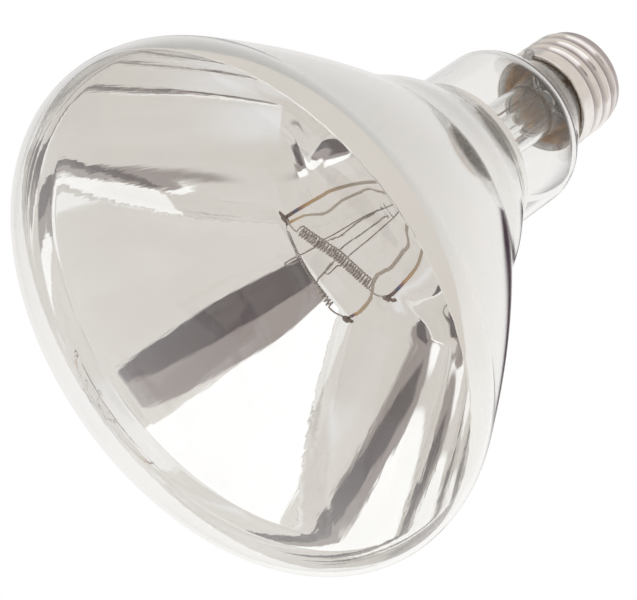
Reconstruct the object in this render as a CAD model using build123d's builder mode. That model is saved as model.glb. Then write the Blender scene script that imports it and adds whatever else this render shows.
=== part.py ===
from build123d import *
from math import asin, atan2, cos, degrees, hypot, radians, sin, sqrt, tan
import os

# Clear reflector heat lamp with a screw cap, in millimetres.
# Z is the lamp's axis and runs from the cap up to the face.
# The origin is the middle of the centre contact's outer face.

# Bulb glass
BULB_DIAMETER = 127.0
EQUATOR_Z = 134.5
FACE_DOME_RADIUS = 118.0
FACE_EDGE_RADIUS = 11.7
REAR_EDGE_RADIUS = 18.0
REAR_EDGE_TURN = 26.6
GLASS_WALL = 1.0

# Stepped rings between the reflector and the neck
RING_COUNT = 3
RING_FRONT_DIAMETER = 60.0
RING_FRONT_Z = 77.0
RING_BULGE = 1.1

# Neck, shoulder and the throat that enters the cap
NECK_DIAMETER = 40.4
NECK_FRONT_Z = 56.0
NECK_REAR_Z = 35.7
THROAT_CLEARANCE = 0.85
THROAT_FRONT_Z = 20.8
THROAT_END_Z = 10.5
SHOULDER_BEND = 6.0

# Mirror film on the inside of the reflector
MIRROR_FILM = 0.15
MIRROR_REAR_Z = 55.2

# Screw cap, of thin sheet with a rolled thread
THREAD_DIAMETER = 26.3
THREAD_DEPTH = 0.8
THREAD_PITCH = 3.629
THREAD_START_Z = 7.9
THREAD_TURNS = 3
CAP_SHEET = 0.3
CAP_RIM_Z = 22.0
CAP_END_Z = 5.0
CAP_END_BEND = 1.6
CAP_END_HOLE = 21.0

# Insulator and centre contact
INSULATOR_FLANGE = 0.2
INSULATOR_TOP_Z = 7.0
INSULATOR_FACE = 11.2
CONTACT_DIAMETER = 9.6
CONTACT_THICKNESS = 1.5
CONTACT_EDGE = 1.0
CONTACT_HOLE = 2.4

# Cement and solder
CEMENT_DEPTH = 2.7
CEMENT_PROUD = 0.3
RIM_SOLDER_DIAMETER = 2.8
RIM_SOLDER_ANGLE = -32.0

# Glass stem: flared tube, pinch, exhaust tube and support rod
STEM_DIAMETER = 14.0
STEM_WALL = 1.0
STEM_TOP_Z = 47.0
FLARE_START_Z = 27.0
FLARE_LIP = 2.0
FLARE_BEND = 1.5
PINCH_WIDTH = 15.0
PINCH_THICKNESS = 4.4
PINCH_FRONT_Z = 64.5
PINCH_TAPER = 6.0
PINCH_CORNER = 1.2
EXHAUST_DIAMETER = 5.0
EXHAUST_WALL = 0.9
EXHAUST_TIP_Z = 18.0
ROD_DIAMETER = 3.2
BUTTON_Z = 72.0
BUTTON_DIAMETER = 5.0

# Leads, which lie in one plane through the axis
MOUNT_ANGLE = 24.0
LEAD_SPACING = 8.0
LEAD_DIAMETER = 0.9
SEAL_DIAMETER = 0.6
TAIL_DIAMETER = 0.5
TAIL_CLEARANCE = 0.1
TAIL_HOLE_CLEARANCE = 0.3
SIDE_TAIL_BEND = 1.2
CENTRE_TAIL_BEND = 3.0
SEAL_REAR_Z = 53.0
SEAL_FRONT_Z = 62.0
LEAD_BEND = 2.5
LEFT_REACH = 13.2
LEFT_BENDS = [(8.7, 76.4), (12.5, 89.3)]
RIGHT_REACH = 17.3
RIGHT_BENDS = [(13.5, 84.8), (16.3, 93.8)]
LEAD_HOOK = 2.1

# Filament: the sleeve that its close coil fills, pulled back in the middle, and two legs
FILAMENT_Z = 103.7
FILAMENT_DIP = 1.0
COIL_LEFT = 8.8
COIL_MIDDLE = -1.8
COIL_RIGHT = -12.2
COIL_DIAMETER = 2.3
COIL_WIRE = 0.34
LEFT_LEG_OUT = 1.4
LEFT_LEG_RISE = 0.9
RIGHT_LEG_OUT = 2.9
RIGHT_LEG_RISE = 1.3
CLAMP_WIDTH = 1.8
CLAMP_DEPTH = 1.4
CLAMP_SHIFT = 0.2

# Support wires
SUPPORT_DIAMETER = 0.4
SUPPORT_ROOT = 0.9
SUPPORT_DEPTH = 1.0
SUPPORT_RISE = 16.0
LEFT_LEAN = 0.75
RIGHT_LEAN = 0.8
LEFT_HOOK = 3.6
RIGHT_HOOK = -3.4
SUPPORT_CLEARANCE = 0.15

bulb_radius = BULB_DIAMETER / 2
neck_radius = NECK_DIAMETER / 2
thread_radius = THREAD_DIAMETER / 2
root_radius = thread_radius - THREAD_DEPTH
throat_radius = root_radius - CAP_SHEET - THROAT_CLEARANCE
stem_radius = STEM_DIAMETER / 2
lead_offset = LEAD_SPACING / 2
side = (cos(radians(MOUNT_ANGLE)), sin(radians(MOUNT_ANGLE)), 0)
across = (sin(radians(MOUNT_ANGLE)), -cos(radians(MOUNT_ANGLE)), 0)
MOUNT_PLANE = Plane(origin=(0, 0, 0), x_dir=side, z_dir=across)


# Profiles of the blown glass, each drawn a given distance inside the outer skin
def ring_point(share, out, inset):
    """A point of the stepped cone, a share of the way from its front to the neck."""
    fall = RING_FRONT_DIAMETER / 2 - neck_radius
    length = RING_FRONT_Z - NECK_FRONT_Z
    slant = hypot(fall, length)
    depth = inset - out
    if share == 1:
        return neck_radius - inset, NECK_FRONT_Z + inset * tan(atan2(fall, length) / 2)
    r = RING_FRONT_DIAMETER / 2 - share * fall - depth * length / slant
    return r, RING_FRONT_Z - share * length + depth * fall / slant


def draw_face(inset):
    """The domed face and its rounded edge, from the axis to the widest circle."""
    edge = FACE_EDGE_RADIUS - inset
    hub = FACE_DOME_RADIUS - FACE_EDGE_RADIUS
    turn = degrees(asin((bulb_radius - FACE_EDGE_RADIUS) / hub))
    crown = FACE_DOME_RADIUS - inset - sqrt(hub**2 - (bulb_radius - FACE_EDGE_RADIUS) ** 2)
    rim = JernArc((bulb_radius - inset, EQUATOR_Z), (0, 1), edge, 90 - turn)
    TangentArc(rim @ 1, (0, EQUATOR_Z + crown), tangent=rim % 1)
    return EQUATOR_Z + crown


def draw_side(inset):
    """The reflector's side and its stepped rings, from the widest circle to the neck."""
    rear = JernArc((bulb_radius - inset, EQUATOR_Z), (0, -1), REAR_EDGE_RADIUS - inset, -REAR_EDGE_TURN)
    TangentArc(rear @ 1, ring_point(0, 0, inset), tangent=rear % 1)
    for i in range(RING_COUNT):
        crest = ring_point((i + 0.5) / RING_COUNT, RING_BULGE, inset)
        ThreePointArc(
            ring_point(i / RING_COUNT, 0, inset),
            crest,
            ring_point((i + 1) / RING_COUNT, 0, inset),
        )


def draw_neck(inset):
    """The neck, the shoulder and the throat, down to the end inside the cap."""
    slope = atan2(neck_radius - throat_radius, NECK_REAR_Z - THROAT_FRONT_Z)
    drop = inset * tan(slope / 2)
    FilletPolyline(
        ring_point(1, 0, inset),
        (neck_radius - inset, NECK_REAR_Z + drop),
        (throat_radius - inset, THROAT_FRONT_Z + drop),
        (throat_radius - inset, THROAT_END_Z),
        radius=SHOULDER_BEND,
    )


def wire_along(plane, points, bend, diameter):
    """A round wire in one plane, of straight runs joined by bends."""
    with BuildPart() as rod:
        with BuildLine(plane) as run:
            FilletPolyline(*points, radius=bend)
        with BuildSketch(Plane(origin=run.line @ 0, z_dir=run.line % 0)):
            Circle(diameter / 2)
        sweep()
    return rod


# Glass envelope
with BuildPart() as glass_envelope:
    with BuildSketch(Plane.XZ):
        with BuildLine():
            outer_crown = draw_face(0)
            draw_side(0)
            draw_neck(0)
            Line((throat_radius, THROAT_END_Z), (throat_radius - GLASS_WALL, THROAT_END_Z))
            draw_neck(GLASS_WALL)
            draw_side(GLASS_WALL)
            inner_crown = draw_face(GLASS_WALL)
            Line((0, inner_crown), (0, outer_crown))
        make_face()
    revolve(axis=Axis.Z)

# Mirror film, from the widest circle to just inside the neck
with BuildPart() as mirror_film:
    with BuildSketch(Plane.XZ):
        with BuildLine():
            for inset in (GLASS_WALL, GLASS_WALL + MIRROR_FILM):
                draw_side(inset)
                Line(ring_point(1, 0, inset), (neck_radius - inset, MIRROR_REAR_Z))
            Line((bulb_radius - GLASS_WALL, EQUATOR_Z), (bulb_radius - GLASS_WALL - MIRROR_FILM, EQUATOR_Z))
            Line(
                (neck_radius - GLASS_WALL, MIRROR_REAR_Z),
                (neck_radius - GLASS_WALL - MIRROR_FILM, MIRROR_REAR_Z),
            )
        make_face()
    revolve(axis=Axis.Z)


# Screw cap
def draw_sheet(inset):
    """The cap's rolled sheet from its turned-in end to its rim, a given distance inside its skin."""
    crest = thread_radius - inset
    root = crest - THREAD_DEPTH
    middle = crest - THREAD_DEPTH / 2
    floor = CAP_END_Z + inset
    FilletPolyline(
        (CAP_END_HOLE / 2, floor),
        (root, floor),
        (root, THREAD_START_Z - THREAD_PITCH / 4),
        radius=CAP_END_BEND - inset,
    )
    Line((root, THREAD_START_Z - THREAD_PITCH / 4), (middle, THREAD_START_Z))
    for i in range(THREAD_TURNS):
        z = THREAD_START_Z + i * THREAD_PITCH
        ThreePointArc((middle, z), (crest, z + THREAD_PITCH / 4), (middle, z + THREAD_PITCH / 2))
        if i < THREAD_TURNS - 1:
            ThreePointArc(
                (middle, z + THREAD_PITCH / 2),
                (root, z + 3 * THREAD_PITCH / 4),
                (middle, z + THREAD_PITCH),
            )
    last = THREAD_START_Z + (THREAD_TURNS - 0.5) * THREAD_PITCH
    band = last + THREAD_PITCH / 2
    ThreePointArc((middle, last), (root, last + THREAD_PITCH / 4), (middle, band))
    Polyline((middle, band), (crest, band + THREAD_DEPTH / 2), (crest, CAP_RIM_Z))


with BuildPart() as screw_shell:
    with BuildSketch(Plane.XZ):
        with BuildLine():
            draw_sheet(0)
            draw_sheet(CAP_SHEET)
            Line((thread_radius, CAP_RIM_Z), (thread_radius - CAP_SHEET, CAP_RIM_Z))
            Line((CAP_END_HOLE / 2, CAP_END_Z), (CAP_END_HOLE / 2, CAP_END_Z + CAP_SHEET))
        make_face()
    revolve(axis=Axis.Z)

# Insulator, which sits on the cap's turned-in end
lead_hole = TAIL_DIAMETER / 2 + TAIL_HOLE_CLEARANCE
with BuildPart() as insulator:
    with BuildSketch(Plane.XZ):
        with BuildLine():
            Polyline(
                (lead_hole, CONTACT_THICKNESS),
                (INSULATOR_FACE / 2, CONTACT_THICKNESS),
                (CAP_END_HOLE / 2, CAP_END_Z),
                (CAP_END_HOLE / 2, CAP_END_Z + CAP_SHEET),
                (CAP_END_HOLE / 2 + INSULATOR_FLANGE, CAP_END_Z + CAP_SHEET),
                (CAP_END_HOLE / 2 + INSULATOR_FLANGE, INSULATOR_TOP_Z),
                (lead_hole, INSULATOR_TOP_Z),
                close=True,
            )
        make_face()
    revolve(axis=Axis.Z)

# Centre contact, an eyelet whose hole is filled with solder
with BuildPart() as centre_contact:
    with BuildSketch():
        Circle(CONTACT_DIAMETER / 2)
        Circle(CONTACT_HOLE / 2, mode=Mode.SUBTRACT)
    extrude(amount=CONTACT_THICKNESS)
    rim_edge = centre_contact.edges().filter_by(GeomType.CIRCLE).group_by(Axis.Z)[0].sort_by(SortBy.RADIUS)[-1]
    fillet(rim_edge, CONTACT_EDGE)


# Filament
def coil_level(along):
    """Height of the coil's axis, which dips where the support wires pull it."""
    reach = COIL_LEFT - COIL_MIDDLE if along > COIL_MIDDLE else COIL_MIDDLE - COIL_RIGHT
    return FILAMENT_Z - FILAMENT_DIP * (1 - abs(along - COIL_MIDDLE) / reach)


with BuildPart() as filament:
    with BuildLine(MOUNT_PLANE) as coil_axis:
        Polyline(*[(along, coil_level(along)) for along in (COIL_LEFT, COIL_MIDDLE, COIL_RIGHT)])
    with BuildSketch(Plane(origin=coil_axis.line @ 0, z_dir=coil_axis.line % 0)):
        Circle((COIL_DIAMETER + COIL_WIRE) / 2)
        Circle((COIL_DIAMETER - COIL_WIRE) / 2, mode=Mode.SUBTRACT)
    sweep(transition=Transition.RIGHT)
    grip = LEAD_DIAMETER / 2
    wall = COIL_DIAMETER / 2
    left_leg = [
        (LEFT_REACH - grip, FILAMENT_Z),
        (COIL_LEFT + LEFT_LEG_OUT, FILAMENT_Z + LEFT_LEG_RISE),
        (COIL_LEFT - COIL_WIRE, coil_level(COIL_LEFT) + wall),
    ]
    right_leg = [
        (grip - RIGHT_REACH, FILAMENT_Z),
        (COIL_RIGHT - RIGHT_LEG_OUT, FILAMENT_Z + RIGHT_LEG_RISE),
        (COIL_RIGHT + COIL_WIRE, coil_level(COIL_RIGHT) + wall),
    ]
    for points in (left_leg, right_leg):
        with BuildLine(MOUNT_PLANE) as leg:
            Spline(*points)
        with BuildSketch(Plane(origin=leg.line @ 0, z_dir=leg.line % 0)):
            Circle(COIL_WIRE / 2)
        sweep(path=leg.line)


# Leads: nickel in front of the pinch, a seal inside it and copper behind it
def front_lead(way, reach, bends):
    """A front lead, bent outwards, hooked over and folded shut on the filament's leg."""
    low = [(way * lead_offset, SEAL_FRONT_Z), (way * lead_offset, PINCH_FRONT_Z + LEAD_BEND / 2)]
    high = [(way * reach, FILAMENT_Z)]
    with BuildPart() as lead:
        with BuildLine(MOUNT_PLANE) as run:
            FilletPolyline(*low, *[(way * r, z) for r, z in bends], *high, radius=LEAD_BEND)
            Line(high[0], (way * (reach + LEAD_HOOK), FILAMENT_Z))
        with BuildSketch(Plane(origin=run.line @ 0, z_dir=run.line % 0)):
            Circle(LEAD_DIAMETER / 2)
        sweep(transition=Transition.ROUND)
        middle = way * (reach - CLAMP_SHIFT)
        with Locations(Plane(origin=(middle * side[0], middle * side[1], FILAMENT_Z), x_dir=side)):
            Box(CLAMP_WIDTH, CLAMP_DEPTH, CLAMP_DEPTH)
        add(filament.part, mode=Mode.SUBTRACT)
    return lead


inner_lead_left = front_lead(1, LEFT_REACH, LEFT_BENDS)
inner_lead_right = front_lead(-1, RIGHT_REACH, RIGHT_BENDS)


def straight_wire(offset, low, high, diameter):
    """A straight wire along Z in the mount plane."""
    with BuildPart() as rod:
        with BuildSketch(Plane(origin=(offset * side[0], offset * side[1], low))):
            Circle(diameter / 2)
        extrude(amount=high - low)
    return rod


seal_left = straight_wire(lead_offset, SEAL_REAR_Z, SEAL_FRONT_Z, SEAL_DIAMETER)
seal_right = straight_wire(-lead_offset, SEAL_REAR_Z, SEAL_FRONT_Z, SEAL_DIAMETER)

# The side tail runs down the stem, round the throat's end and up to the cap's rim
tail_gap = (root_radius - CAP_SHEET + throat_radius) / 2
turn_z = (INSULATOR_TOP_Z + THROAT_END_Z) / 2
start = Vector(lead_offset * side[0], lead_offset * side[1], 0)
finish = Vector(
    tail_gap * cos(radians(RIM_SOLDER_ANGLE)), tail_gap * sin(radians(RIM_SOLDER_ANGLE)), 0
)
span = finish - start
TAIL_PLANE = Plane(origin=start, x_dir=span, z_dir=span.cross(Vector(0, 0, 1)))
side_tail = wire_along(
    TAIL_PLANE,
    [
        (0, SEAL_REAR_Z),
        (0, turn_z),
        (span.length, turn_z),
        (span.length, THROAT_FRONT_Z - CEMENT_DEPTH),
        (span.length + thread_radius - CAP_SHEET - TAIL_DIAMETER / 2 - TAIL_CLEARANCE - tail_gap, CAP_RIM_Z),
    ],
    SIDE_TAIL_BEND,
    TAIL_DIAMETER,
)
centre_tail = wire_along(
    MOUNT_PLANE,
    [
        (-lead_offset, SEAL_REAR_Z),
        (-lead_offset, EXHAUST_TIP_Z),
        (0, THROAT_END_Z),
        (0, CONTACT_THICKNESS / 2),
    ],
    CENTRE_TAIL_BEND,
    TAIL_DIAMETER,
)

with BuildPart() as contact_solder:
    with BuildSketch():
        Circle(CONTACT_HOLE / 2)
    extrude(amount=CONTACT_THICKNESS)
    add(centre_tail.part, mode=Mode.SUBTRACT)

# The room that the glass takes up at the cap
with BuildPart() as neck_core:
    with BuildSketch(Plane.XZ):
        with BuildLine():
            draw_neck(0)
            Polyline((throat_radius, THROAT_END_Z), (0, THROAT_END_Z), (0, NECK_FRONT_Z), ring_point(1, 0, 0))
        make_face()
    revolve(axis=Axis.Z)

# The room that the cap takes up at its rim
with BuildPart() as cap_core:
    with BuildSketch(Plane.XY.offset(CAP_RIM_Z - CEMENT_DEPTH)):
        Circle(thread_radius)
    extrude(amount=CEMENT_DEPTH)

# Basing cement, between the throat and the cap's plain band
with BuildPart() as basing_cement:
    with BuildSketch(Plane.XY.offset(CAP_RIM_Z - CEMENT_DEPTH)):
        Circle(thread_radius - CAP_SHEET)
    extrude(amount=CEMENT_DEPTH + CEMENT_PROUD)
    add(neck_core.part, mode=Mode.SUBTRACT)
    add(side_tail.part, mode=Mode.SUBTRACT)

# Solder that joins the side tail to the sheet's rim
with BuildPart() as rim_solder:
    lump = Vector(thread_radius - CAP_SHEET / 2, 0, CAP_RIM_Z).rotate(Axis.Z, RIM_SOLDER_ANGLE)
    with Locations(lump):
        Sphere(RIM_SOLDER_DIAMETER / 2)
    for body in (cap_core, neck_core, basing_cement, side_tail):
        add(body.part, mode=Mode.SUBTRACT)

# Glass stem: flare, tube and pinch
with BuildPart() as glass_stem:
    with BuildSketch(Plane.XZ):
        with BuildLine():
            lip = throat_radius - GLASS_WALL
            FilletPolyline(
                (stem_radius, STEM_TOP_Z),
                (stem_radius, FLARE_START_Z),
                (lip, THROAT_END_Z + FLARE_LIP),
                (lip, THROAT_END_Z),
                radius=FLARE_BEND,
            )
            Line((lip, THROAT_END_Z), (lip - STEM_WALL, THROAT_END_Z))
            FilletPolyline(
                (lip - STEM_WALL, THROAT_END_Z),
                (lip - STEM_WALL, THROAT_END_Z + FLARE_LIP),
                (stem_radius - STEM_WALL, FLARE_START_Z),
                (stem_radius - STEM_WALL, STEM_TOP_Z),
                radius=FLARE_BEND,
            )
            Line((stem_radius - STEM_WALL, STEM_TOP_Z), (stem_radius, STEM_TOP_Z))
        make_face()
    revolve(axis=Axis.Z)
    with BuildSketch(Plane.XY.offset(STEM_TOP_Z)):
        Circle(stem_radius)
    with BuildSketch(Plane(origin=(0, 0, STEM_TOP_Z + PINCH_TAPER), x_dir=side)):
        RectangleRounded(PINCH_WIDTH, PINCH_THICKNESS, PINCH_CORNER)
    loft()
    with BuildSketch(Plane(origin=(0, 0, STEM_TOP_Z + PINCH_TAPER), x_dir=side)):
        RectangleRounded(PINCH_WIDTH, PINCH_THICKNESS, PINCH_CORNER)
    extrude(amount=PINCH_FRONT_Z - STEM_TOP_Z - PINCH_TAPER)
    for lead in (seal_left, seal_right, inner_lead_left, inner_lead_right, side_tail, centre_tail):
        add(lead.part, mode=Mode.SUBTRACT)

with BuildPart() as exhaust_tube:
    with BuildSketch(Plane.XY.offset(EXHAUST_TIP_Z)):
        Circle(EXHAUST_DIAMETER / 2)
    extrude(amount=STEM_TOP_Z - EXHAUST_TIP_Z)
    fillet(exhaust_tube.edges().sort_by(Axis.Z)[0], EXHAUST_DIAMETER / 2.2)
    with BuildSketch(Plane.XY.offset(EXHAUST_TIP_Z + 2 * EXHAUST_WALL)):
        Circle(EXHAUST_DIAMETER / 2 - EXHAUST_WALL)
    extrude(amount=STEM_TOP_Z - EXHAUST_TIP_Z - 2 * EXHAUST_WALL, mode=Mode.SUBTRACT)


# Support rod with its button, and the two wires that hold the filament's middle
with BuildPart() as support_rod:
    with BuildSketch(Plane.XZ):
        with BuildLine():
            Polyline(
                (0, BUTTON_Z),
                (0, PINCH_FRONT_Z),
                (ROD_DIAMETER / 2, PINCH_FRONT_Z),
                (ROD_DIAMETER / 2, BUTTON_Z),
                close=True,
            )
        make_face()
    revolve(axis=Axis.Z)
    with Locations((0, 0, BUTTON_Z)):
        Sphere(BUTTON_DIAMETER / 2)


def support_wire(points):
    """A thin wire through points given as place along the coil, height and place beside it."""
    with BuildPart() as wire:
        with BuildLine(MOUNT_PLANE) as run:
            Spline(*[(along, z, -beside) for along, z, beside in points])
        with BuildSketch(Plane(origin=run.line @ 0, z_dir=run.line % 0)):
            Circle(SUPPORT_DIAMETER / 2)
        sweep()
    return wire


wrap = (COIL_DIAMETER + COIL_WIRE + SUPPORT_DIAMETER) / 2 + SUPPORT_CLEARANCE
left_level = coil_level(LEFT_HOOK)
right_level = coil_level(RIGHT_HOOK)
support_wire_left = support_wire(
    [
        (SUPPORT_ROOT, BUTTON_Z + SUPPORT_DEPTH, 0),
        (LEFT_LEAN * LEFT_HOOK, BUTTON_Z + SUPPORT_RISE, 0),
        (LEFT_HOOK, left_level - 2.5 * wrap, 0),
        (LEFT_HOOK, left_level, wrap),
        (LEFT_HOOK, left_level + wrap, 0),
        (LEFT_HOOK, left_level + wrap / 4, -wrap),
    ]
)
support_wire_right = support_wire(
    [
        (-SUPPORT_ROOT, BUTTON_Z + SUPPORT_DEPTH, 0),
        (RIGHT_LEAN * RIGHT_HOOK, BUTTON_Z + SUPPORT_RISE, 0),
        (RIGHT_HOOK, right_level - 2.4 * wrap, 0),
        (RIGHT_HOOK, right_level - 0.5 * wrap, 1.5 * wrap),
        (RIGHT_HOOK, right_level + wrap, 3.3 * wrap),
        (RIGHT_HOOK + wrap, right_level + 2 * wrap, 2 * wrap),
        (RIGHT_HOOK + wrap, right_level + 1.2 * wrap, 0),
    ]
)
for wire in (support_wire_left, support_wire_right):
    support_rod.part -= wire.part

os.makedirs("parts", exist_ok=True)
nodes = {
    "glass_envelope": glass_envelope,
    "mirror_film": mirror_film,
    "screw_shell": screw_shell,
    "insulator": insulator,
    "centre_contact": centre_contact,
    "contact_solder": contact_solder,
    "basing_cement": basing_cement,
    "rim_solder": rim_solder,
    "glass_stem": glass_stem,
    "exhaust_tube": exhaust_tube,
    "inner_lead_left": inner_lead_left,
    "inner_lead_right": inner_lead_right,
    "seal_left": seal_left,
    "seal_right": seal_right,
    "side_tail": side_tail,
    "centre_tail": centre_tail,
    "filament": filament,
    "support_rod": support_rod,
    "support_wire_left": support_wire_left,
    "support_wire_right": support_wire_right,
}
for label, node in nodes.items():
    node.part.label = label
    export_step(node.part, f"parts/{label}.step")
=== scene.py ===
from math import asin, atan2, cos, hypot, pi, radians, sin, sqrt, tan

import bmesh
import bpy
import numpy as np
from mathutils import Matrix, Vector


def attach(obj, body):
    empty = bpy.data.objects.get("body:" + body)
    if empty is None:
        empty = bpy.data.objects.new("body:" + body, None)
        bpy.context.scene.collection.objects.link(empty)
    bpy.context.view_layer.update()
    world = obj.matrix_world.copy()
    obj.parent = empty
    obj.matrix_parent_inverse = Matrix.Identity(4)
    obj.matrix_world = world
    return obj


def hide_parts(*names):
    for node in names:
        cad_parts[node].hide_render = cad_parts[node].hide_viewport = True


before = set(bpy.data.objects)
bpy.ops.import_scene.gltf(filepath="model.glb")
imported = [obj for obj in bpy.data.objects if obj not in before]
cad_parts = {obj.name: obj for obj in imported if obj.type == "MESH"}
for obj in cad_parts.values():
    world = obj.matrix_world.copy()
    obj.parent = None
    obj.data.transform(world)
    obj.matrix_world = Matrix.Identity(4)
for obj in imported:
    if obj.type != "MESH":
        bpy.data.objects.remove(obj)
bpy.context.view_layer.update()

MM = 0.001
rng = np.random.default_rng(7)

# Sizes of the lamp in millimetres and degrees, with z up the axis from the contact's face

# Blown glass
BULB_RADIUS = 63.5
EQUATOR_Z = 134.5
FACE_DOME_RADIUS = 118.0
FACE_EDGE_RADIUS = 11.7
REAR_EDGE_RADIUS = 18.0
REAR_EDGE_TURN = 26.6
GLASS_WALL = 1.0
GLASS_AROUND = 288
NECK_RADIUS = 20.2
NECK_REAR_Z = 35.7
THROAT_RADIUS = 11.2
THROAT_FRONT_Z = 20.8
THROAT_END_Z = 10.5
SHOULDER_BEND = 6.0
# The stepped rings from the reflector's rear end to the neck, as (r, z)
SHOULDER_KNOTS = [
    (34.4, 82.0), (31.6, 77.0), (28.4, 70.0), (24.8, 64.0), (22.0, 60.0), (20.4, 57.0), (20.2, 55.0),
]
SHOULDER_SLOPE = 0.6

# Mirror film
MIRROR_FILM = 0.15
MIRROR_GAP = 0.03
MIRROR_REAR_Z = 55.2
MIRROR_FRONT_Z = 136.6
MIRROR_AROUND = 2 * GLASS_AROUND
EDGE_WAVES = 37
EDGE_WAVE, EDGE_GRAIN = 0.14, 0.12
EDGE_ROWS = 4

# Screw cap
CAP_RADIUS = 13.15
CAP_SHEET = 0.3
CAP_AROUND = 192
CAP_END_RADIUS = 10.5
CAP_END_Z = 5.0
CAP_END_BEND = 1.6
CAP_RIM_Z = 22.0
CAP_RIM_ROUND = 0.05
THREAD_DEPTH = 0.8
THREAD_PITCH = 3.629
THREAD_LEVEL = 7.9
THREAD_SHAPE = 0.85
THREAD_REAR_Z, THREAD_FRONT_Z = 7.0, 19.4
THREAD_RUN_IN = (6.6, 8.4)
THREAD_RUN_OUT = (17.2, 19.0)
THREAD_ROWS = 100
BAND_ROWS = (19.7, 20.5, 21.3, 21.8)

# Filament, with places along the mount plane
MOUNT_ANGLE = 24.0
FILAMENT_Z = 103.7
COIL_LEFT, COIL_MIDDLE, COIL_RIGHT = 8.8, -1.8, -12.2
COIL_DIP = 1.0
COIL_DIAMETER, COIL_WIRE = 2.3, 0.36
TURNS = 28

# Leads and thin holders, as (along the mount plane, z) and, with a third value, beside it
LEAD_RADIUS = 0.42
LEADS = {
    "left": [
        (4.0, 62.0), (4.0, 65.6), (6.1, 71.0), (8.65, 76.35),
        (10.9, 82.6), (12.4, 89.3), (13.1, 97.9), (13.25, 103.1),
    ],
    "right": [
        (-4.0, 62.0), (-4.0, 65.6), (-7.8, 73.0), (-11.0, 79.2),
        (-13.6, 84.9), (-15.3, 89.4), (-16.3, 94.6), (-17.2, 103.1),
    ],
}
# The fold over the filament's leg, outwards from the lead's tip
LEAD_FOLD = [
    (-0.75, 103.55, 0.1), (-0.55, 103.62, 0.3), (0.1, 103.72, 0.2),
    (0.7, 103.7, -0.1), (1.25, 103.62, -0.2), (2.0, 103.5, -0.35),
]
FOLD_SHARES = [0, 0.06, 0.2, 0.35, 0.5, 0.62, 0.9, 1]
FOLD_RADII = [0.15, 0.62, 0.72, 0.62, 0.66, 0.42, 0.34, 0.12]
HOLDER_RADIUS = 0.16
HOLDERS = {
    "left": [
        (0.5, 72.6, 0), (0.79, 78.9, 0), (2.0, 86.0, 0), (2.6, 93.0, 0),
        (3.0, 98.9, 0), (3.6, 101.9, 0.4), (3.7, 103.3, 1.5), (3.75, 104.7, 0.4),
    ],
    "right": [
        (-0.6, 72.6, 0), (-2.0, 80.0, 0), (-2.8, 90.4, 0), (-3.5, 100.7, 0), (-3.7, 103.0, 1.5),
        (-3.7, 105.2, 0.3), (-4.2, 108.6, 0), (-3.9, 109.3, 0), (-3.1, 108.6, 0), (-2.4, 105.9, 0),
    ],
}

# Glass stem
STEM_RADIUS = 7.0
STEM_WALL = 1.0
STEM_AROUND = 120
STEM_END_Z, STEM_LIP_Z, STEM_TUBE_Z = 10.5, 12.5, 27.0
STEM_TOP_Z = 47.0
STEM_LIP_CLEARANCE = 0.05
STEM_BEND = 1.5
PINCH_REAR_Z, PINCH_FRONT_Z = 53.0, 64.5
PINCH_HALF_WIDTH, PINCH_HALF_THICKNESS = 7.5, 2.2
PINCH_STEPS = 8
PINCH_ROWS = (55.0, 58.0, 61.0, 64.0)

# Cement
CEMENT_AROUND = 144
CEMENT_OUTER_RADIUS, CEMENT_INNER_RADIUS = 12.0, 11.26
CEMENT_OUTER_Z, CEMENT_INNER_Z = 19.6, 18.6
CEMENT_END_Z, CEMENT_END_DROP = 11.5, 1.6
CEMENT_LUMPS = 18
# Its part at the cap's rim, as (r, z)
CEMENT_LIP = [(12.8, 20.2), (12.83, 21.8), (12.3, 21.7), (11.7, 21.1)]


# Profiles, as lists of (r, z)
def arc(centre, radius, start, end, count):
    """Points of an arc, with angles in radians from the r axis."""
    turns = [start + (end - start) * i / count for i in range(count + 1)]
    return [(centre[0] + radius * cos(a), centre[1] + radius * sin(a)) for a in turns]


def tangent_arc(start, along, end, count):
    """Points of the arc that leaves start in the direction along and passes through end."""
    p, d, q = np.array(start), np.array(along, float), np.array(end)
    d /= np.hypot(*d)
    n = np.array([d[1], -d[0]])
    chord = q - p
    k = (chord @ chord) / (2 * (chord @ n))
    c = p + n * k
    a = atan2(*(p - c)[::-1])
    b = atan2(*(q - c)[::-1])
    b = a + (b - a + pi) % (2 * pi) - pi
    return arc(c, abs(k), a, b, count)


def filleted(points, radius, count):
    """A polyline whose corners are rounded."""
    out = [points[0]]
    for p, c, n in zip(points, points[1:], points[2:]):
        u = np.array(p) - np.array(c)
        v = np.array(n) - np.array(c)
        u /= np.hypot(*u)
        v /= np.hypot(*v)
        half_angle = np.arccos(np.clip(u @ v, -1, 1)) / 2
        reach = radius / np.tan(half_angle)
        a, b = np.array(c) + u * reach, np.array(c) + v * reach
        out += tangent_arc(a, -u, b, count)
    return out + [points[-1]]


def refined(points, step):
    """The same profile with its long straight runs divided, so that their shading stays true."""
    out = [points[0]]
    for (r0, z0), (r1, z1) in zip(points, points[1:]):
        count = max(1, int(hypot(r1 - r0, z1 - z0) / step))
        shares = [i / count for i in range(1, count + 1)]
        out += [(r0 + (r1 - r0) * s, z0 + (z1 - z0) * s) for s in shares]
    return out


def smooth_through(knots, first, last, count):
    """Points of a smooth curve through knots that run down in z, with dr/dz given at both ends."""
    r, z = np.array(knots).T
    slope = np.gradient(r, z)
    slope[0], slope[-1] = first, last
    out = [knots[0]]
    for i in range(len(knots) - 1):
        h = z[i + 1] - z[i]
        for t in np.linspace(0, 1, count + 1)[1:]:
            a, b = 2 * t**3 - 3 * t**2 + 1, t**3 - 2 * t**2 + t
            c, d = 3 * t**2 - 2 * t**3, t**3 - t**2
            radius = a * r[i] + b * h * slope[i] + c * r[i + 1] + d * h * slope[i + 1]
            out.append((radius, z[i] + t * h))
    return out


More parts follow.
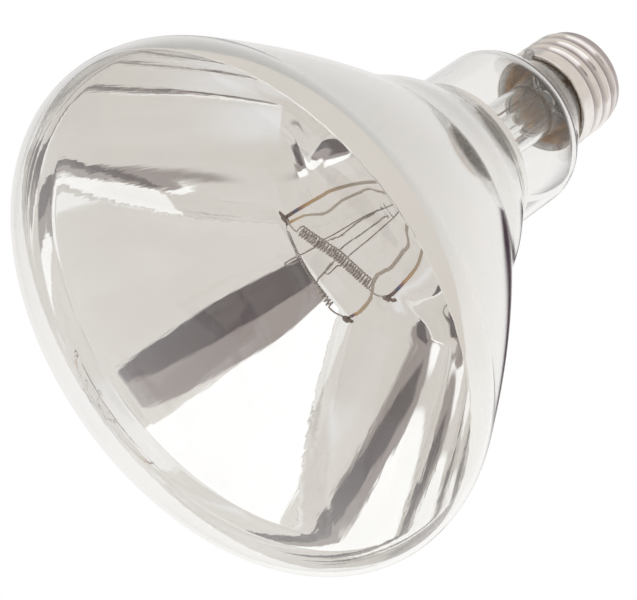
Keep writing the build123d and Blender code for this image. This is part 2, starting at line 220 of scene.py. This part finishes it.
def inset_by(points, inset):
    """A profile moved towards the axis, square to itself."""
    p = np.array(points)
    along = np.gradient(p, axis=0)
    along /= np.hypot(along[:, 0], along[:, 1])[:, None]
    moved = p + inset * np.stack([along[:, 1], -along[:, 0]], 1)
    return [tuple(q) for q in moved]


def face_profile(inset):
    """The domed face and its rounded edge, down to the widest circle."""
    edge_r = BULB_RADIUS - FACE_EDGE_RADIUS
    hub = FACE_DOME_RADIUS - FACE_EDGE_RADIUS
    turn = asin(edge_r / hub)
    centre = (0, EQUATOR_Z - sqrt(hub**2 - edge_r**2))
    dome = arc(centre, FACE_DOME_RADIUS - inset, pi / 2, pi / 2 - turn, 30)
    edge = arc((edge_r, EQUATOR_Z), FACE_EDGE_RADIUS - inset, pi / 2 - turn, 0, 16)
    return dome + edge[1:]


def side_profile(inset):
    """The reflector and the stepped rings, from the widest circle to the neck."""
    turn = radians(REAR_EDGE_TURN)
    rear = arc((BULB_RADIUS - REAR_EDGE_RADIUS, EQUATOR_Z), REAR_EDGE_RADIUS, 0, -turn, 10)
    cone = tangent_arc(rear[-1], (-sin(turn), -cos(turn)), SHOULDER_KNOTS[0], 36)
    shoulder = smooth_through(SHOULDER_KNOTS, SHOULDER_SLOPE, 0.0, 6)
    return inset_by(rear + cone[1:] + shoulder[1:], inset)


def neck_profile(inset):
    """The neck, its slope and the throat."""
    slope = atan2(NECK_RADIUS - THROAT_RADIUS, NECK_REAR_Z - THROAT_FRONT_Z)
    drop = inset * tan(slope / 2)
    corners = [
        (NECK_RADIUS - inset, SHOULDER_KNOTS[-1][1]),
        (NECK_RADIUS - inset, NECK_REAR_Z + drop),
        (THROAT_RADIUS - inset, THROAT_FRONT_Z + drop),
        (THROAT_RADIUS - inset, THROAT_END_Z),
    ]
    return filleted(corners, SHOULDER_BEND, 8)


# Mesh makers
def mesh_piece(name, verts, faces, materials):
    """A smooth object with its faces turned outwards."""
    mesh = bpy.data.meshes.new(name)
    mesh.from_pydata([tuple(v) for v in verts], [], faces)
    obj = bpy.data.objects.new(name, mesh)
    bpy.context.scene.collection.objects.link(obj)
    for material in materials:
        mesh.materials.append(material)
    work = bmesh.new()
    work.from_mesh(mesh)
    bmesh.ops.recalc_face_normals(work, faces=work.faces)
    work.to_mesh(mesh)
    work.free()
    mesh.polygons.foreach_set("use_smooth", [True] * len(mesh.polygons))
    mesh.update()
    return obj


def revolved(name, rings, materials, closed=True):
    """A surface through rings of points in millimetres; a ring on the axis becomes one point.

    Where closed, the last ring is joined to the first.
    """
    count = len(rings[0])
    verts, faces, starts = [], [], []
    for ring in rings:
        starts.append(len(verts))
        if np.abs(ring[:, :2]).max() < 1e-6:
            verts.append(ring[0] * MM)
        else:
            verts += list(ring * MM)
    pairs = list(zip(range(len(rings)), range(1, len(rings))))
    if closed:
        pairs.append((len(rings) - 1, 0))
    size = [b - a for a, b in zip(starts, starts[1:] + [len(verts)])]
    for i, j in pairs:
        a, b = starts[i], starts[j]
        for k in range(count):
            n = (k + 1) % count
            if size[i] == 1:
                faces.append((a, b + n, b + k))
            elif size[j] == 1:
                faces.append((a + k, a + n, b))
            else:
                faces.append((a + k, a + n, b + n, b + k))
    return mesh_piece(name, verts, faces, materials)


def ring_of(r, z, count):
    """Points round the axis, with one radius or one for each point."""
    t = np.arange(count) * 2 * pi / count
    return np.stack([r * np.cos(t), r * np.sin(t), np.full(count, z)], 1)


def wire_mesh(points, radius, sides):
    """Vertices and faces of a round wire along points in millimetres."""
    p = np.array(points, float)
    tangents = np.gradient(p, axis=0)
    tangents /= np.linalg.norm(tangents, axis=1)[:, None]
    normal = np.cross(tangents[0], [0.3, 0.5, 0.8])
    verts, faces = [], []
    radii = np.broadcast_to(radius, len(p))
    for i, t in enumerate(tangents):
        normal = normal - t * (normal @ t)
        normal /= np.linalg.norm(normal)
        other = np.cross(t, normal)
        for k in range(sides):
            a = 2 * pi * k / sides
            verts.append((p[i] + radii[i] * (cos(a) * normal + sin(a) * other)) * MM)
    for i in range(len(p) - 1):
        a, b = i * sides, (i + 1) * sides
        for k in range(sides):
            n = (k + 1) % sides
            faces.append((a + k, a + n, b + n, b + k))
    faces.append(tuple(range(sides))[::-1])
    faces.append(tuple((len(p) - 1) * sides + k for k in range(sides)))
    return verts, faces


def wire_piece(name, runs, materials, sides=12):
    """One piece of round wires, each given as its points and its radius or radii."""
    verts, faces = [], []
    for points, radius in runs:
        more_verts, more_faces = wire_mesh(points, radius, sides)
        faces += [tuple(i + len(verts) for i in face) for face in more_faces]
        verts += more_verts
    return mesh_piece(name, verts, faces, materials)


def curve_through(points, count):
    """Points of a Catmull-Rom curve, with count steps between two given points."""
    p = [np.array(q, float) for q in points]
    p = [2 * p[0] - p[1]] + p + [2 * p[-1] - p[-2]]
    out = []
    for a, b, c, d in zip(p, p[1:], p[2:], p[3:]):
        for s in [i / count for i in range(count)]:
            square, cube = 2 * a - 5 * b + 4 * c - d, 3 * b - a - 3 * c + d
            out.append(0.5 * ((2 * b) + (c - a) * s + square * s**2 + cube * s**3))
    return out + [p[-2]]


def eased(value, low, high):
    """0 up to low and 1 from high on, with a soft start and end."""
    t = np.clip((value - low) / (high - low), 0, 1)
    return t * t * (3 - 2 * t)


# Shader nodes
def node(tree, kind, **values):
    """A node with its properties, or else its inputs, set by name."""
    made = tree.nodes.new(kind)
    for key, value in values.items():
        if hasattr(made, key):
            setattr(made, key, value)
        else:
            made.inputs[key.replace("_", " ")].default_value = value
    return made


def feed(tree, source, socket):
    """Links a socket to its source, or sets it where the source is a plain value."""
    if isinstance(source, bpy.types.NodeSocket):
        tree.links.new(source, socket)
    else:
        socket.default_value = source


def maths(tree, operation, *sources):
    made = node(tree, "ShaderNodeMath", operation=operation)
    for source, socket in zip(sources, made.inputs):
        feed(tree, source, socket)
    return made.outputs["Value"]


def vector_maths(tree, operation, *sources):
    made = node(tree, "ShaderNodeVectorMath", operation=operation)
    for source, socket in zip(sources, made.inputs):
        feed(tree, source, socket)
    gives_number = operation in ("DISTANCE", "DOT_PRODUCT", "LENGTH")
    return made.outputs["Value" if gives_number else "Vector"]


def mapped(tree, source, low, high, to_min=0.0, to_max=1.0, interpolation="LINEAR"):
    """A number moved from the range low to high into another range."""
    made = node(tree, "ShaderNodeMapRange", interpolation_type=interpolation)
    made.inputs["From Min"].default_value = low
    made.inputs["From Max"].default_value = high
    made.inputs["To Min"].default_value = to_min
    made.inputs["To Max"].default_value = to_max
    tree.links.new(source, made.inputs["Value"])
    return made.outputs["Result"]


def mixed(tree, a, b, share, blend_type="MIX"):
    """Two colours mixed, each a socket or three numbers."""
    made = node(tree, "ShaderNodeMix", data_type="RGBA", blend_type=blend_type)
    feed(tree, share, made.inputs[0])
    for colour, socket in ((a, made.inputs[6]), (b, made.inputs[7])):
        feed(tree, (*colour, 1) if isinstance(colour, tuple) else colour, socket)
    return made.outputs[2]


def ramp(tree, source, stops):
    """A colour for each number, from stops of a place and a colour."""
    made = node(tree, "ShaderNodeValToRGB")
    while len(made.color_ramp.elements) < len(stops):
        made.color_ramp.elements.new(0.5)
    for element, (place, colour) in zip(made.color_ramp.elements, stops):
        element.position = place
        element.color = (*colour, 1)
    tree.links.new(source, made.inputs["Fac"])
    return made.outputs["Color"]


def position(tree):
    """The shaded point's place on its piece, in metres."""
    return node(tree, "ShaderNodeTexCoord").outputs["Object"]


def off_axis(tree):
    """The part of that place that lies square to the lamp's axis."""
    return vector_maths(tree, "MULTIPLY", position(tree), (1, 1, 0))


def level(tree):
    """The shaded point's place along the lamp's axis."""
    split = node(tree, "ShaderNodeSeparateXYZ")
    tree.links.new(position(tree), split.inputs[0])
    return split.outputs["Z"]


def noise(tree, scale, detail=2.0, rough=0.5, source=None):
    made = node(tree, "ShaderNodeTexNoise", Scale=scale, Detail=detail, Roughness=rough)
    tree.links.new(source or position(tree), made.inputs["Vector"])
    return made.outputs["Fac"]


def bump(tree, shader, height, distance, normal=None):
    made = node(tree, "ShaderNodeBump", Strength=1.0, Distance=distance)
    tree.links.new(height, made.inputs["Height"])
    if normal is not None:
        tree.links.new(normal, made.inputs["Normal"])
    tree.links.new(made.outputs["Normal"], shader.inputs["Normal"])
    return made.outputs["Normal"]


# Materials
def new_material(name):
    material = bpy.data.materials.new(name)
    material.use_nodes = True
    return material, material.node_tree, material.node_tree.nodes["Principled BSDF"]


def glass_material(name):
    """Clear glass that lets the room's light through to the pieces behind it."""
    material, tree, shader = new_material(name)
    shader.inputs["Transmission Weight"].default_value = 1.0
    shader.inputs["Roughness"].default_value = 0.0
    shader.inputs["IOR"].default_value = 1.5
    grain = noise(tree, 60.0)
    tint = ramp(tree, grain, [(0.3, (0.985, 0.99, 0.985)), (0.7, (1, 1, 1))])
    tree.links.new(tint, shader.inputs["Base Color"])
    bump(tree, shader, grain, 2e-6)
    path = node(tree, "ShaderNodeLightPath")
    open_way = node(tree, "ShaderNodeBsdfTransparent")
    open_way.inputs["Color"].default_value = (0.96, 0.96, 0.96, 1)
    both = node(tree, "ShaderNodeMixShader")
    tree.links.new(path.outputs["Is Shadow Ray"], both.inputs[0])
    tree.links.new(shader.outputs[0], both.inputs[1])
    tree.links.new(open_way.outputs[0], both.inputs[2])
    tree.links.new(both.outputs[0], tree.nodes["Material Output"].inputs["Surface"])
    return material


def plain_material(name, low, high, rough, scale, bumps=0.0, detail=3.0, metallic=1.0):
    """A metal, or a dark glass, between two colours and two roughnesses."""
    material, tree, shader = new_material(name)
    shader.inputs["Metallic"].default_value = metallic
    grain = noise(tree, scale, detail)
    tree.links.new(ramp(tree, grain, [(0.3, low), (0.7, high)]), shader.inputs["Base Color"])
    tree.links.new(mapped(tree, grain, 0.0, 1.0, *rough), shader.inputs["Roughness"])
    if bumps:
        bump(tree, shader, grain, bumps)
    return material


def drawn_ripple(tree):
    """Noise drawn out along the meridians of the blown glass, weaker towards the neck."""
    around = vector_maths(tree, "NORMALIZE", off_axis(tree))
    along_axis = vector_maths(tree, "MULTIPLY", position(tree), (0, 0, 4.0))
    drawn = vector_maths(tree, "ADD", around, along_axis)
    grain = noise(tree, 20.0, 3.0, 0.55, source=drawn)
    forward = mapped(tree, level(tree), 0.086, 0.118, to_min=0.12)
    return maths(tree, "MULTIPLY", maths(tree, "SUBTRACT", grain, 0.5), forward)


def film_material(name, low, high, wave):
    """The mirror film: bright metal on blown glass whose skin is a little uneven."""
    material, tree, shader = new_material(name)
    shader.inputs["Metallic"].default_value = 1.0
    shader.inputs["Roughness"].default_value = 0.0
    wide = noise(tree, 45.0, 1.0)
    tree.links.new(ramp(tree, wide, [(0.3, low), (0.7, high)]), shader.inputs["Base Color"])
    broad = bump(tree, shader, wide, wave * 1.2)
    bump(tree, shader, drawn_ripple(tree), wave * 2.2, normal=broad)
    return material


def painted_valley_shade(material):
    """Painted shade: darker, slightly purple base colour in the thread's valleys, which the light
    reaches less.
    """
    tree = material.node_tree
    shader = tree.nodes["Principled BSDF"]
    plain = shader.inputs["Base Color"].links[0].from_socket
    reach = vector_maths(tree, "LENGTH", off_axis(tree))
    depth = mapped(tree, reach, 0.01235, 0.0129)
    shade = ramp(tree, depth, [(0.0, (0.60, 0.56, 0.59)), (1.0, (1, 1, 1))])
    tree.links.new(mixed(tree, plain, shade, 1.0, "MULTIPLY"), shader.inputs["Base Color"])


def cement_material():
    """Amber cement between throat and cap, with a greyer skin at the cap's rim."""
    material, tree, shader = new_material("cement")
    grain = noise(tree, 350.0, 5.0, 0.65)
    amber = [(0.30, (0.20, 0.08, 0.025)), (0.48, (0.62, 0.34, 0.14)), (0.68, (0.84, 0.56, 0.29))]
    grey = [(0.36, (0.20, 0.12, 0.07)), (0.46, (0.48, 0.45, 0.42)), (0.7, (0.66, 0.64, 0.62))]
    at_rim = mapped(tree, level(tree), 0.0200, 0.0212)
    colour = mixed(tree, ramp(tree, grain, amber), ramp(tree, grain, grey), at_rim)
    tree.links.new(colour, shader.inputs["Base Color"])
    shader.inputs["Roughness"].default_value = 0.6
    bump(tree, shader, grain, 2e-4)
    return material


def lead_material(name, hook):
    """Nickel wire, blued and browned by heat towards its hook."""
    material, tree, shader = new_material(name)
    shader.inputs["Metallic"].default_value = 1.0
    shader.inputs["Roughness"].default_value = 0.28
    away = mapped(tree, vector_maths(tree, "DISTANCE", position(tree), hook), 0.0, 0.026)
    heat = maths(tree, "MULTIPLY_ADD", noise(tree, 700.0, 2.0), 0.06, away)
    stops = [
        (0.03, (0.16, 0.12, 0.11)),
        (0.12, (0.22, 0.15, 0.12)),
        (0.17, (0.10, 0.13, 0.28)),
        (0.22, (0.30, 0.16, 0.16)),
        (0.30, (0.62, 0.40, 0.20)),
        (0.55, (0.60, 0.47, 0.32)),
        (0.85, (0.52, 0.46, 0.40)),
    ]
    tree.links.new(ramp(tree, heat, stops), shader.inputs["Base Color"])
    return material


clear_glass = glass_material("clear_glass")
film_inside = film_material(
    "mirror_film_inside", (0.93, 0.925, 0.915), (0.96, 0.955, 0.95), 1.2e-5)
film_outside = film_material(
    "mirror_film_outside", (0.90, 0.885, 0.86), (0.93, 0.92, 0.90), 6e-6)
cap_metal = plain_material(
    "cap_metal", (0.84, 0.80, 0.77), (0.94, 0.91, 0.88), (0.10, 0.2), 260.0, bumps=6e-6)
# Painted shade in the thread's valleys, multiplied into the cap's metal colour
painted_valley_shade(cap_metal)
black_glass = plain_material(
    "black_glass", (0.012, 0.010, 0.012), (0.03, 0.025, 0.03), (0.08, 0.2), 200.0,
    bumps=1e-5, detail=2.0, metallic=0.0)
brass_contact = plain_material(
    "brass_contact", (0.55, 0.40, 0.18), (0.68, 0.52, 0.28), (0.2, 0.35), 500.0, bumps=4e-6)
solder = plain_material(
    "solder", (0.42, 0.41, 0.40), (0.62, 0.61, 0.60), (0.25, 0.5), 900.0, bumps=4e-5)
copper_wire = plain_material(
    "copper_wire", (0.34, 0.26, 0.21), (0.46, 0.37, 0.31), (0.2, 0.35), 900.0)
seal_wire = plain_material(
    "seal_wire", (0.40, 0.10, 0.06), (0.50, 0.16, 0.10), (0.3, 0.45), 900.0)
tungsten = plain_material(
    "tungsten", (0.40, 0.35, 0.32), (0.54, 0.48, 0.44), (0.3, 0.5), 1500.0)
support_metal = plain_material(
    "support_metal", (0.30, 0.27, 0.25), (0.45, 0.41, 0.38), (0.25, 0.4), 1200.0)
cement = cement_material()


# Blown glass: outer skin and inner skin
def skin(inset):
    profile = face_profile(inset) + side_profile(inset)[1:] + neck_profile(inset)[1:]
    return [ring_of(r, z, GLASS_AROUND) for r, z in refined(profile, 1.5)]


bulb_glass = revolved("bulb_glass", skin(0) + skin(GLASS_WALL)[::-1], [clear_glass], closed=False)
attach(bulb_glass, "root")
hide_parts("glass_envelope")


# Mirror film, a hair clear of the glass, with a slightly ragged front edge
def film_rings(inset, ragged):
    radius = FACE_EDGE_RADIUS - inset
    reach = asin((MIRROR_FRONT_Z - EQUATOR_Z) / radius)
    front = arc((BULB_RADIUS - FACE_EDGE_RADIUS, EQUATOR_Z), radius, reach, 0, 6)
    rear = [q for q in side_profile(inset)[1:] if q[1] > MIRROR_REAR_Z]
    out = []
    for i, (r, z) in enumerate(front + rear + [(NECK_RADIUS - inset, MIRROR_REAR_Z)]):
        ring = ring_of(r, z, MIRROR_AROUND)
        ring[:, 2] -= ragged * max(0, 1 - i / EDGE_ROWS)
        out.append(ring)
    return out


turns_round = np.arange(MIRROR_AROUND) * 2 * pi / MIRROR_AROUND
ragged_edge = EDGE_WAVE * np.sin(turns_round * EDGE_WAVES + 0.7) ** 2
ragged_edge += EDGE_GRAIN * rng.random(MIRROR_AROUND)
inner_rings = film_rings(GLASS_WALL + MIRROR_FILM, ragged_edge)
outer_rings = film_rings(GLASS_WALL + MIRROR_GAP, ragged_edge)
film = revolved("mirror_coat", inner_rings + outer_rings[::-1], [film_inside, film_outside])
for polygon in film.data.polygons:
    band = polygon.index // MIRROR_AROUND
    polygon.material_index = 0 if band < len(inner_rings) - 1 else 1
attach(film, "root")
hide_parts("mirror_film")


# Screw cap: thin sheet with a rolled right-hand thread
def cap_rings(inset):
    root = CAP_RADIUS - THREAD_DEPTH
    corners = [
        (CAP_END_RADIUS, CAP_END_Z + inset),
        (root - inset, CAP_END_Z + inset),
        (root - inset, THREAD_REAR_Z),
    ]
    bend = filleted(corners, CAP_END_BEND - inset, 8)
    out = [ring_of(r, z, CAP_AROUND) for r, z in bend[:-1]]
    around = np.arange(CAP_AROUND) / CAP_AROUND
    for z in np.linspace(THREAD_REAR_Z, THREAD_FRONT_Z, THREAD_ROWS):
        turn = (z - THREAD_LEVEL) / THREAD_PITCH - around
        wave = (0.5 + 0.5 * np.sin(2 * pi * turn)) ** THREAD_SHAPE
        run_in = eased(z - THREAD_PITCH * (around - 0.5) * 0.5, *THREAD_RUN_IN)
        run_out = eased(z, *THREAD_RUN_OUT)
        height = run_in * wave * (1 - run_out) + run_out
        out.append(ring_of(root + THREAD_DEPTH * height - inset, z, CAP_AROUND))
    out += [ring_of(CAP_RADIUS - inset, z, CAP_AROUND) for z in BAND_ROWS]
    out.append(ring_of(CAP_RADIUS - inset * 0.75 - CAP_RIM_ROUND, CAP_RIM_Z, CAP_AROUND))
    return out


cap = revolved("threaded_cap", cap_rings(0) + cap_rings(CAP_SHEET)[::-1], [cap_metal])
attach(cap, "root")
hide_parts("screw_shell")

# The mount plane, in which leads and filament lie
side = np.array([cos(radians(MOUNT_ANGLE)), sin(radians(MOUNT_ANGLE)), 0])
beside = np.array([-sin(radians(MOUNT_ANGLE)), cos(radians(MOUNT_ANGLE)), 0])
up = np.array([0, 0, 1.0])


def mount(u, z, v=0.0):
    return side * u + up * z + beside * v


# Filament: a close coil that dips where the support wires pull it back, and its two legs
def coil_level(along):
    reach = np.where(along > COIL_MIDDLE, COIL_LEFT - COIL_MIDDLE, COIL_MIDDLE - COIL_RIGHT)
    return FILAMENT_Z - COIL_DIP * np.clip(1 - np.abs(along - COIL_MIDDLE) / reach, 0, 1) ** 1.3


t = np.linspace(0, 1, TURNS * 20 + 1)
# The turns stand a little closer in some places than in others
drift = t + 0.006 * np.sin(2 * pi * 3.3 * t) + 0.003 * np.sin(2 * pi * 7.7 * t + 1)
along = COIL_LEFT + (COIL_RIGHT - COIL_LEFT) * drift
turn = 2 * pi * TURNS * t + pi / 2
coil = [
    mount(a, z + COIL_DIAMETER / 2 * sin(w), COIL_DIAMETER / 2 * cos(w))
    for a, z, w in zip(along, coil_level(along), turn)
]
left_leg = curve_through([mount(12.75, 103.7), mount(10.9, 104.5), mount(9.4, 104.85), coil[0]], 8)
right_leg = curve_through(
    [coil[-1], mount(-13.3, 105.1), mount(-15.1, 105.1), mount(-16.85, 103.9)], 8)
wire = left_leg[:-1] + coil + right_leg[1:]
filament = wire_piece("coil", [(wire, COIL_WIRE / 2)], [tungsten], 8)
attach(filament, "root")
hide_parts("filament")

# Front leads, bent outwards and folded flat over the filament's legs
for hand, path in LEADS.items():
    tip = path[-1][0]
    outwards = 1 if tip > 0 else -1
    run = curve_through([mount(u, z) for u, z in path], 10)
    fold = curve_through([mount(tip + outwards * u, z, v) for u, z, v in LEAD_FOLD], 6)
    fold_radii = np.interp(np.linspace(0, 1, len(fold)), FOLD_SHARES, FOLD_RADII)
    finish = lead_material("lead_" + hand, tuple(mount(tip, FILAMENT_Z) * MM))
    lead = wire_piece("lead_wire_" + hand, [(run, LEAD_RADIUS), (fold, fold_radii)], [finish])
    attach(lead, "root")
    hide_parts("inner_lead_" + hand)

# Thin wires that hold the coil's middle
for hand, path in HOLDERS.items():
    run = curve_through([mount(u, z, v) for u, z, v in path], 10)
    holder = wire_piece("holder_" + hand, [(run, HOLDER_RADIUS)], [support_metal], 8)
    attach(holder, "root")
    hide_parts("support_wire_" + hand)


# Glass stem: flare and tube as a revolved wall, then the flat pinch in the mount plane
def turned(ring):
    """A ring of points turned into the mount plane."""
    return ring[:, :1] * side + ring[:, 1:2] * beside + ring[:, 2:] * up


def pinch_ring(z, share):
    """The stem's section, from the tube at share 0 to the flat pinch at share 1."""
    t = np.arange(STEM_AROUND) * 2 * pi / STEM_AROUND
    power = 2 / (2 + 6 * share)
    wide = STEM_RADIUS + (PINCH_HALF_WIDTH - STEM_RADIUS) * share
    thick = STEM_RADIUS + (PINCH_HALF_THICKNESS - STEM_RADIUS) * share
    x = wide * np.sign(np.cos(t)) * np.abs(np.cos(t)) ** power
    y = thick * np.sign(np.sin(t)) * np.abs(np.sin(t)) ** power
    return turned(np.stack([x, y, np.full(STEM_AROUND, z)], 1))


def flare_rings(inset):
    lip = THROAT_RADIUS - GLASS_WALL - STEM_LIP_CLEARANCE - inset
    tube = STEM_RADIUS - inset
    corners = [(lip, STEM_END_Z), (lip, STEM_LIP_Z), (tube, STEM_TUBE_Z), (tube, STEM_TOP_Z)]
    profile = refined(filleted(corners, STEM_BEND, 8), 1.5)
    return [turned(ring_of(r, z, STEM_AROUND)) for r, z in profile]


def axis_point(z):
    """The ring of no width that ends a surface."""
    return ring_of(0, z, STEM_AROUND)


outer_stem = flare_rings(0)[:-1]
for i in range(PINCH_STEPS + 1):
    share = i / PINCH_STEPS
    z = STEM_TOP_Z + (PINCH_REAR_Z - STEM_TOP_Z) * share
    outer_stem.append(pinch_ring(z, eased(share, 0, 1)))
outer_stem += [pinch_ring(z, 1.0) for z in (*PINCH_ROWS, PINCH_FRONT_Z)]
outer_stem.append(axis_point(PINCH_FRONT_Z))
inner_stem = flare_rings(STEM_WALL) + [axis_point(STEM_TOP_Z + 0.5)]
stem = revolved("stem_glass", outer_stem[::-1] + inner_stem, [clear_glass], closed=False)
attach(stem, "root")
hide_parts("glass_stem")


# Cement between the throat and the cap, uneven at its inner end
def cement_wall(radius, start, end, shares):
    """Rings at one radius between two levels, each a number or one for each point."""
    rings = []
    for share in shares:
        ring = ring_of(radius, 0, CEMENT_AROUND)
        ring[:, 2] = start + (end - start) * share
        rings.append(ring)
    return rings


lumps = np.append(rng.random(CEMENT_LUMPS), 0.5)
lump_places = np.linspace(0, CEMENT_AROUND, CEMENT_LUMPS + 1)
end_level = CEMENT_END_Z + CEMENT_END_DROP * np.interp(
    np.arange(CEMENT_AROUND), lump_places, lumps)
end_level[-1] = end_level[0]
outer_wall = cement_wall(CEMENT_OUTER_RADIUS, end_level, CEMENT_OUTER_Z, (0, 0.25, 0.5, 0.75, 1))
lip_rings = [ring_of(r, z, CEMENT_AROUND) for r, z in CEMENT_LIP]
inner_wall = cement_wall(CEMENT_INNER_RADIUS, CEMENT_INNER_Z, end_level, (0, 0.3, 0.6, 1))
cement_ring = revolved("cement_ring", outer_wall + lip_rings + inner_wall, [cement])
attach(cement_ring, "root")
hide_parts("basing_cement")

# Finishes of the frame's own pieces
finishes = {
    "insulator": black_glass,
    "centre_contact": brass_contact,
    "contact_solder": solder,
    "rim_solder": solder,
    "exhaust_tube": clear_glass,
    "seal_left": seal_wire,
    "seal_right": seal_wire,
    "side_tail": copper_wire,
    "centre_tail": copper_wire,
    "support_rod": clear_glass,
}
for name, material in finishes.items():
    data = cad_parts[name].data
    data.materials.clear()
    data.materials.append(material)

# World: the room as the lamp sees it, painted by direction
world = bpy.data.worlds.new("studio")
bpy.context.scene.world = world
world.use_nodes = True
sky = world.node_tree
for old in list(sky.nodes):
    sky.nodes.remove(old)
direction = node(sky, "ShaderNodeTexCoord").outputs["Generated"]


def tone(r, g, b):
    """Linear colour of an sRGB colour given in 0 to 255."""
    shares = (r / 255, g / 255, b / 255)
    return tuple(v / 12.92 if v <= 0.04045 else ((v + 0.055) / 1.055) ** 2.4 for v in shares)


def toward(azimuth, elevation):
    a, e = radians(azimuth), radians(elevation)
    return Vector((cos(e) * cos(a), cos(e) * sin(a), sin(e)))


def one_side(normal, soft, shift=0.0):
    """1 on the side of a plane through the lamp that the normal points to."""
    reach = vector_maths(sky, "DOT_PRODUCT", direction, normal)
    return mapped(sky, reach, shift - soft, shift + soft, interpolation="SMOOTHSTEP")


def card(corners, soft):
    """1 inside a convex card whose corners are given as azimuth and elevation."""
    points = [toward(*c) for c in corners]
    middle = sum(points, Vector()).normalized()
    mask = None
    for a, b in zip(points, points[1:] + points[:1]):
        inward = a.cross(b).normalized()
        if inward.dot(middle) < 0:
            inward = -inward
        edge_mask = one_side(inward, soft)
        mask = edge_mask if mask is None else maths(sky, "MULTIPLY", mask, edge_mask)
    return mask


CREAM = tone(221, 216, 210)
SHEEN = tone(236, 235, 236)
WINDOW = (1.15, 1.15, 1.15)
SHADE = tone(154, 144, 141)
DARK = tone(80, 70, 73)
LAMP_SHADOW = tone(74, 60, 68)
WHITE = (1, 1, 1)
TABLE_DOWN = Vector((-0.345, 0.855, -0.39))
TABLE_BRIGHT = toward(150, 0)
# The table's white, from the side away from the window to the side near it
TABLE_TONES = [
    (0.0, tone(194, 193, 191)),
    (0.36, tone(222, 220, 218)),
    (0.62, tone(240, 238, 236)),
    (0.95, tone(250, 249, 247)),
]
# Each card: its tone, its corners as azimuth and elevation, and how soft its edge is
ROOM_CARDS = [
    (SHEEN, [(206, 36), (222, 41), (247, 52), (252, 61), (232, 58), (208, 47)], 0.10),
    (WINDOW, [
        (283, 4), (350, 2), (346, 14), (336, 27), (325, 38), (311, 44), (298, 38), (292, 30), (283, 18),
    ], 0.01),
    (WINDOW, [(294, 57), (300, 52), (318, 45), (324, 47), (312, 60), (298, 62)], 0.015),
    (SHADE, [
        (260, 17.6), (276, 17.6), (281.5, 20.3), (287, 23.5), (293, 27), (296, 35),
        (284, 41), (272, 37), (261, 24),
    ], 0.01),
    (SHADE, [(270, 40), (296, 37), (313, 44), (308, 55), (298, 60), (280, 55), (267, 46)], 0.015),
    (SHADE, [(274, 50), (284, 52), (296, 62), (299, 67), (290, 64)], 0.03),
    (DARK, [
        (258.5, 18), (264, 18), (270.5, 22), (275, 27), (283, 35), (276, 42), (262, 37), (255.5, 26),
    ], 0.012),
    (DARK, [(268, 38), (284, 40), (306, 47), (303, 53), (284, 53), (270, 46)], 0.015),
]
# Painted shadow: the lamp's own shadow on the table, a dark purple card among the table's directions
TABLE_SHADOW_CARDS = [(LAMP_SHADOW, [(97, -44), (104, -44), (106, -58), (98, -60)], 0.03)]

room = CREAM
for colour, corners, soft in ROOM_CARDS:
    room = mixed(sky, room, colour, card(corners, soft))
window_side = mapped(
    sky, vector_maths(sky, "DOT_PRODUCT", direction, TABLE_BRIGHT), -0.5, 0.8)
table = ramp(sky, window_side, TABLE_TONES)
room = mixed(sky, room, table, one_side(TABLE_DOWN, 0.03, 0.1))
# The painted shadow of the lamp, laid over the table's part of the room
for colour, corners, soft in TABLE_SHADOW_CARDS:
    room = mixed(sky, room, colour, card(corners, soft))
light_path = node(sky, "ShaderNodeLightPath")
seen = mixed(sky, room, WHITE, light_path.outputs["Is Camera Ray"])
background = node(sky, "ShaderNodeBackground")
sky.links.new(seen, background.inputs["Color"])
output = node(sky, "ShaderNodeOutputWorld")
sky.links.new(background.outputs["Background"], output.inputs["Surface"])

# Camera, in metres and degrees
CAMERA_PLACE = (-0.00973615, -0.47337922, 0.51065920)
CAMERA_TILT = 50.02368
CAMERA_ROLL = -125.85705
camera_data = bpy.data.cameras.new("camera")
camera_data.sensor_width = 36
camera_data.lens = 158.58
camera_data.shift_x = -0.01297
camera_data.shift_y = 0.01275
camera_data.clip_start = 0.01
camera_data.clip_end = 20
camera = bpy.data.objects.new("camera", camera_data)
bpy.context.scene.collection.objects.link(camera)
camera.matrix_world = (
    Matrix.Translation(CAMERA_PLACE)
    @ Matrix.Rotation(radians(CAMERA_TILT), 4, "X")
    @ Matrix.Rotation(radians(CAMERA_ROLL), 4, "Z")
)
bpy.context.scene.camera = camera
bpy.context.scene.view_settings.view_transform = "Standard"

# Light crosses two glass walls and bounces in the reflector many times
cycles = bpy.context.scene.cycles
cycles.max_bounces = 32
cycles.transmission_bounces = 32
cycles.glossy_bounces = 16
cycles.transparent_max_bounces = 24
